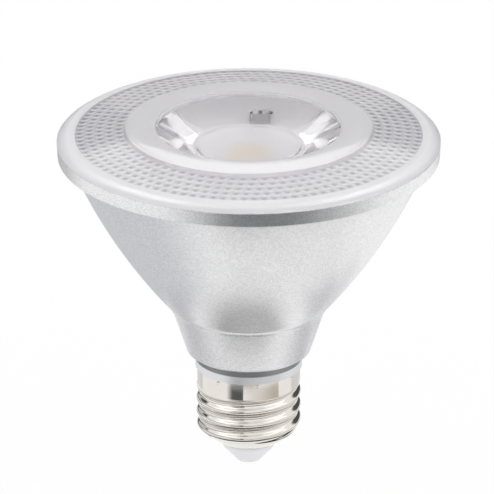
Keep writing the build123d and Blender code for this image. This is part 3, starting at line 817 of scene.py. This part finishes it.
def stake_tree(size, finish):
    """Geometry nodes that punch a ring of stake marks into the shell's collar."""
    tree, inputs, values = geometry_tree("stake_marks", Stakes=size.stakes, Stake_Radius=size.stake_radius)
    round_collar = {"Vertices": inputs["Stakes"], "Radius": size.collar_radius + size.stake_stand}
    circle = add_node(tree, "GeometryNodeMeshCircle", round_collar)
    place = {
        "Geometry": circle,
        "Translation": (0, 0, shell_high.z - size.stake_drop),
        "Rotation": (0, 0, size.stake_turn - math.pi / 2),
    }
    ring = add_node(tree, "GeometryNodeTransform", place)
    punch = add_node(tree, "GeometryNodeMeshIcoSphere", {"Radius": inputs["Stake_Radius"], "Subdivisions": 2})
    placed = add_node(tree, "GeometryNodeInstanceOnPoints", {"Points": ring, "Instance": punch})
    marks = add_node(tree, "GeometryNodeRealizeInstances", {"Geometry": placed})
    meshes = {"Mesh 1": inputs["Geometry"], "Mesh 2": marks}
    cut = add_node(tree, "GeometryNodeMeshBoolean", meshes, operation="DIFFERENCE", solver="MANIFOLD")
    real = add_node(tree, "GeometryNodeRealizeInstances", {"Geometry": cut})
    dressed = add_node(tree, "GeometryNodeSetMaterial", {"Geometry": real, "Material": finish})
    add_node(tree, "NodeGroupOutput", {"Geometry": dressed})
    return tree, values


class LAMP_OT_shell(LampOperator, bpy.types.Operator):
    """Build the rolled nickel screw shell with its thread and stake marks"""

    bl_idname = "lamp.shell"
    bl_label = "Screw shell"

    def execute(self, context):
        size = settings().shell
        low, high = shell_low.z, shell_high.z
        collar = high - size.collar_height

        def cone_radius(height):
            share = (height - low) / size.cone_height
            line = size.lip_radius + (size.cone_radius - size.lip_radius) * share
            return line + 4 * size.cone_bulge * share * (1 - min(share, 1.0))

        def radius_at(angle, height):
            turn = (height - size.crest_height) / size.pitch - angle / (2 * math.pi)
            threaded = size.crest_radius - size.depth * (1 - thread_wave(size, turn))
            fade = max(0.0, min(1.0, (collar + size.runout / 2 - height) / size.runout))
            fade = fade * fade * (3 - 2 * fade)
            threaded = size.collar_radius + (threaded - size.collar_radius) * fade
            gap = cone_radius(height) - threaded
            return threaded + (gap - math.hypot(gap, size.cone_blend)) / 2

        def ring(height, inset):
            points = []
            for step in range(SHELL_SEGMENTS):
                angle = 2 * math.pi * step / SHELL_SEGMENTS
                reach = radius_at(angle, height) - inset
                points.append((reach * math.cos(angle), reach * math.sin(angle), height))
            return points

        heights = [low + (high - low) * row / SHELL_ROWS for row in range(SHELL_ROWS + 1)]
        outside = [ring(height, 0) for height in heights]
        inside = [ring(height, size.wall) for height in reversed(heights)]
        piece = ring_solid("screw_shell_rolled", [*outside, *inside])
        finish = bright_nickel(settings().finish.nickel)
        grown(piece, *stake_tree(size, finish))
        sharpen(piece.data, degrees=40)
        seat(piece, "screw_shell")
        dress_solids({"center_contact": finish})
        return {"FINISHED"}


class LAMP_OT_base(LampOperator, bpy.types.Operator):
    """Finish the insulator at the tip and the grey driver housing above the shell"""

    bl_idname = "lamp.base"
    bl_label = "Insulator and collar"

    def execute(self, context):
        finish = settings().finish
        step = shell_high.z + settings().body.collar_height
        finishes = {
            "base_insulator": moulded("pale_insulator", finish.insulator, 0.4, vary=0.02),
            "driver_housing": driver_grey(finish.collar, finish.shoulder, step),
        }
        dress_solids(finishes)
        return {"FINISHED"}


class LAMP_OT_light_engine(LampOperator, bpy.types.Operator):
    """Finish the pan, the LED board and what stands on it"""

    bl_idname = "lamp.light_engine"
    bl_label = "Light engine"

    def execute(self, context):
        finish = settings().finish
        finishes = {
            "heat_sink_cup": moulded("bright_pan", finish.pan, 0.35, vary=0.02, metal=0.3),
            "led_board": moulded("white_board", finish.board, 0.4, vary=0.02),
            "led_substrate": moulded("white_ceramic", (0.88, 0.88, 0.87), 0.35, vary=0.02),
            "led_phosphor": moulded("phosphor_gel", finish.phosphor, 0.3, vary=0.04),
            "board_screws": moulded("plated_steel", (0.62, 0.62, 0.63), 0.3, metal=1.0),
            "led_connector": moulded("connector_grey", (0.42, 0.42, 0.42), 0.4),
            "led_lead_positive": moulded("lead_white", (0.88, 0.88, 0.87), 0.35),
            "led_lead_negative": moulded("lead_grey", (0.70, 0.71, 0.73), 0.35),
        }
        finishes["led_dam"] = finishes["led_substrate"]
        dress_solids(finishes)
        return {"FINISHED"}


class LAMP_OT_driver(LampOperator, bpy.types.Operator):
    """Finish the driver board and its components inside the neck"""

    bl_idname = "lamp.driver"
    bl_label = "Driver"

    def execute(self, context):
        ferrite = moulded("ferrite", (0.10, 0.10, 0.11), 0.6, vary=0.12)
        epoxy = moulded("black_epoxy", (0.035, 0.035, 0.038), 0.5)
        wire = moulded("tinned_wire", (0.72, 0.71, 0.69), 0.3, metal=1.0)
        copper = moulded("copper_wire", (0.62, 0.27, 0.10), 0.35, size=0.15 * MM, depth=0.05 * MM, metal=1.0)
        finishes = {
            "driver_board": moulded("circuit_board", (0.05, 0.22, 0.09), 0.4, vary=0.1),
            "transformer_core": ferrite,
            "filter_choke": ferrite,
            "transformer_bobbin": moulded("bobbin_plastic", (0.06, 0.06, 0.06), 0.5),
            "transformer_winding": copper,
            "bulk_capacitor": moulded("capacitor_sleeve", (0.05, 0.055, 0.09), 0.35),
            "film_capacitor": moulded("film_yellow", (0.62, 0.42, 0.05), 0.4),
            "bridge_rectifier": epoxy,
            "controller_chip": epoxy,
            "varistor": moulded("varistor_blue", (0.05, 0.13, 0.40), 0.35),
            "fuse_resistor": moulded("fuse_green", (0.25, 0.34, 0.17), 0.6),
            "live_wire": wire,
            "neutral_wire": wire,
        }
        dress_solids(finishes)
        return {"FINISHED"}


# Stage


def seen_ray(tree):
    """1 for rays that show the background: from the camera, a gloss or a clear piece."""
    path = add_node(tree, "ShaderNodeLightPath").outputs
    first = reckon(tree, "MAXIMUM", path["Is Camera Ray"], path["Is Glossy Ray"])
    return reckon(tree, "MAXIMUM", first, path["Is Transmission Ray"])


def mixed_surface(tree, output, share, first, second):
    """Shows a mix of two shaders at an output."""
    mixed = add_node(tree, "ShaderNodeMixShader", {0: share, 1: first, 2: second})
    set_inputs(tree, tree.nodes[output], {"Surface": mixed})


def white_world(sky):
    """A white background that lights the lamp softly from all round."""
    world = bpy.data.worlds.new("studio")
    world.use_nodes = True
    tree = world.node_tree
    soft = tree.nodes["Background"]
    set_inputs(tree, soft, {"Color": WHITE, "Strength": sky})
    white = add_node(tree, "ShaderNodeBackground", {"Color": WHITE, "Strength": 1.0})
    mixed_surface(tree, "World Output", seen_ray(tree), soft, white)
    bpy.context.scene.world = world


def white_floor(side):
    """A floor that stays white to the camera, in gloss and through clear pieces, with a soft shadow."""
    half = side / 2
    mesh = bpy.data.meshes.new("floor")
    corners = [(-half, -half, 0), (half, -half, 0), (half, half, 0), (-half, half, 0)]
    mesh.from_pydata(corners, [], [(0, 1, 2, 3)])
    material, tree = new_material("white_floor")
    surfaced(material, {"Base Color": (0.93, 0.93, 0.93, 1), "Roughness": 1.0, "Specular IOR Level": 0.0})
    glow = add_node(tree, "ShaderNodeEmission", {"Color": WHITE, "Strength": 1.0})
    glow_share = 0.95
    part = reckon(tree, "MULTIPLY", seen_ray(tree), glow_share)
    mixed_surface(tree, "Material Output", part, tree.nodes["Principled BSDF"], glow)
    mesh.materials.append(material)
    linked("floor", mesh)


def card_finish(name, tone):
    """A plain tone for a card, which fades to white where the card's shade does."""
    finish, tree = new_material(name)
    tree.nodes.remove(tree.nodes["Principled BSDF"])
    depth = add_node(tree, "ShaderNodeAttribute", attribute_name="shade").outputs["Fac"]
    faded = tint(tree, depth, WHITE[:3], tone)
    glow = add_node(tree, "ShaderNodeEmission", {"Color": faded, "Strength": 1.0})
    set_inputs(tree, tree.nodes["Material Output"], {"Surface": glow})
    finish.cycles.emission_sampling = "NONE"
    return finish


def gloss_card(name, finish, start, end, bearings, soft=(0, 0)):
    """A card that only gloss shows: a strip between two (radius, height) points, from one bearing to another.

    Bearings are in degrees from the camera's side, towards +X. The card fades to white over its soft ends.
    """
    first, last = bearings
    steps = max(2, round((last - first) / 3))
    verts = []
    shades = []
    for step in range(steps + 1):
        turn = (last - first) * step / steps
        ends = ((turn, soft[0]), (last - first - turn, soft[1]))
        shade_here = min([1.0, *(gap / width for gap, width in ends if width)])
        angle = math.radians(first + turn)
        for radius, height in (start, end):
            verts.append((radius * math.sin(angle), -radius * math.cos(angle), height))
            shades.append(shade_here)
    faces = [(2 * step, 2 * step + 1, 2 * step + 3, 2 * step + 2) for step in range(steps)]
    mesh = bpy.data.meshes.new(name)
    mesh.from_pydata(verts, [], faces)
    mesh.attributes.new("shade", "FLOAT", "POINT").data.foreach_set("value", shades)
    mesh.materials.append(finish)
    card = linked(name, mesh)
    for ray in ("camera", "diffuse", "transmission", "shadow"):
        setattr(card, f"visible_{ray}", False)


def gloss_cards():
    """Cards on the floor and round the lamp, which give the metal and the paint dark and light lines; the
    four right under the lamp are a painted shadow of it on the floor.
    """
    tones = {
        "black": (0.03, 0.033, 0.04),
        "dark": (0.085, 0.088, 0.095),
        "shadow": (0.15, 0.15, 0.155),
        "middle": (0.45, 0.44, 0.43),
        "grey": (0.50, 0.50, 0.53),
        "warm": (0.56, 0.53, 0.48),
        "cool": (0.58, 0.59, 0.62),
        "pale": (0.76, 0.76, 0.77),
        "white": (0.88, 0.88, 0.88),
    }
    finishes = {name: card_finish(f"{name}_card", tone) for name, tone in tones.items()}
    on_floor = 0.2 * MM
    raised = 27 * MM

    def flat(name, tone, radii, bearings, soft=(0, 0), height=on_floor):
        start, end = [(radius * MM, height) for radius in radii]
        gloss_card(name, finishes[tone], start, end, bearings, soft)

    def standing(name, tone, bearings, soft=(0, 0), away=500 * MM, top=330 * MM):
        gloss_card(name, finishes[tone], (away, on_floor), (away, top), bearings, soft)

    # Painted shadow: dark cards under the lamp, seen only in gloss, stand in for the lamp's shadow on the
    # floor and the shade under its neck.
    flat("thread_shadow_card", "black", radii=(13.5, 19), bearings=(-140, 140), soft=(30, 30))
    flat("under_front_shadow_card", "shadow", radii=(19.2, 29), bearings=(-90, 70), soft=(48, 44))
    flat("under_left_shadow_card", "middle", radii=(19.2, 26), bearings=(-140, -90), soft=(12, 0))
    flat("under_back_shadow_card", "middle", radii=(19.2, 22), bearings=(70, 220), soft=(12, 12))
    flat("left_neck_card", "grey", radii=(34, 54), bearings=(-165, -25), soft=(20, 45))
    flat("right_neck_card", "grey", radii=(36, 54), bearings=(45, 140), soft=(25, 20))
    flat("near_card", "dark", radii=(55, 70), bearings=(-46, -11), soft=(12, 0))
    flat("collar_card", "middle", radii=(70.5, 90), bearings=(-46, 24), soft=(12, 20))
    flat("warm_card", "warm", radii=(55, 70), bearings=(-10, 64), soft=(60, 0))
    flat("left_side_card", "pale", radii=(55, 68.5), bearings=(-166, -112), soft=(6, 6))
    flat("right_side_card", "pale", radii=(55, 72), bearings=(98, 172), soft=(6, 6))
    flat("left_bowl_card", "cool", radii=(34, 130), bearings=(-165, -18), soft=(20, 40), height=raised)
    flat("front_bowl_card", "white", radii=(34, 66), bearings=(-17.5, 70), height=raised)
    flat("front_card", "black", radii=(95, 1000), bearings=(-46, 84), soft=(34, 58))
    flat("left_far_card", "middle", radii=(150, 600), bearings=(-168, -108), soft=(10, 20))
    flat("right_far_card", "middle", radii=(150, 600), bearings=(136, 168), soft=(14, 10))
    standing("near_flag", "dark", bearings=(-46, -12), soft=(12, 0), away=400 * MM, top=300 * MM)
    standing("left_flag", "dark", bearings=(-170, -112), soft=(0, 8))
    standing("right_flag", "dark", bearings=(112, 170), soft=(8, 0))
    standing("back_flag", "middle", bearings=(170, 190))


def set_up(item, place, aim):
    """Puts a light or a camera in a place, pointed at an aim."""
    item.location = place
    item.rotation_euler = (Vector(aim) - item.location).to_track_quat("-Z", "Y").to_euler()


def softbox(name, place, aim, side, power):
    """A large square light that points at the lamp."""
    data = bpy.data.lights.new(name, "AREA")
    data.shape = "SQUARE"
    data.size = side
    data.energy = power
    light = linked(name, data)
    set_up(light, place, aim)
    light.visible_camera = False


def deep_light(scene):
    """Lets light pass through and bounce inside the clear lens until it comes out."""
    scene.cycles.max_bounces = 48
    scene.cycles.transmission_bounces = 48
    scene.cycles.glossy_bounces = 16
    scene.cycles.diffuse_bounces = 8
    scene.cycles.blur_glossy = 0.0


class LAMP_OT_stage(LampOperator, bpy.types.Operator):
    """Set the white floor, the soft light and the camera"""

    bl_idname = "lamp.stage"
    bl_label = "Stage"

    def execute(self, context):
        studio = settings().studio
        white_world(studio.sky)
        white_floor(studio.floor_side)
        gloss_cards()
        middle = (0, 0, studio.centre_height)
        softbox("left_softbox", (-1.1, -0.5, 0.9), middle, side=1.2, power=studio.key)
        softbox("right_softbox", (1.1, -0.4, 1.0), middle, side=1.2, power=studio.key * studio.key_balance)
        softbox("back_softbox", (0, 0.903, 1.198), middle, side=1.46, power=studio.back)
        data = bpy.data.cameras.new("camera")
        data.lens = studio.lens
        camera = linked("camera", data)
        away = Vector((0, -math.cos(studio.camera_tilt), math.sin(studio.camera_tilt)))
        place = Vector(middle) + away * studio.camera_distance
        set_up(camera, place, aim=(studio.aim_side, 0, studio.aim_height))
        context.scene.camera = camera
        context.scene.view_settings.view_transform = "Standard"
        deep_light(context.scene)
        return {"FINISHED"}


class LAMP_PT_panel(bpy.types.Panel):
    """Sidebar panel that lists the lamp's pieces"""

    bl_label = "Reflector lamp"
    bl_idname = "LAMP_PT_panel"
    bl_space_type = "VIEW_3D"
    bl_region_type = "UI"
    bl_category = "Lamp"

    def draw(self, context):
        for operator in operators:
            self.layout.operator(operator.bl_idname)


operators = (
    LAMP_OT_body,
    LAMP_OT_lens,
    LAMP_OT_shell,
    LAMP_OT_base,
    LAMP_OT_light_engine,
    LAMP_OT_driver,
    LAMP_OT_stage,
)
classes = (
    LampBodySizes,
    LensSizes,
    ShellSizes,
    FinishColours,
    StudioSettings,
    LampSettings,
    *operators,
    LAMP_PT_panel,
)


def register():
    for cls in classes:
        bpy.utils.register_class(cls)
    bpy.types.Scene.lamp_settings = PointerProperty(type=LampSettings)


def unregister():
    del bpy.types.Scene.lamp_settings
    for cls in reversed(classes):
        bpy.utils.unregister_class(cls)


def main():
    register()
    bpy.ops.lamp.body()
    bpy.ops.lamp.lens()
    bpy.ops.lamp.shell()
    bpy.ops.lamp.base()
    bpy.ops.lamp.light_engine()
    bpy.ops.lamp.driver()
    bpy.ops.lamp.stage()


if __name__ == "__main__":
    main()
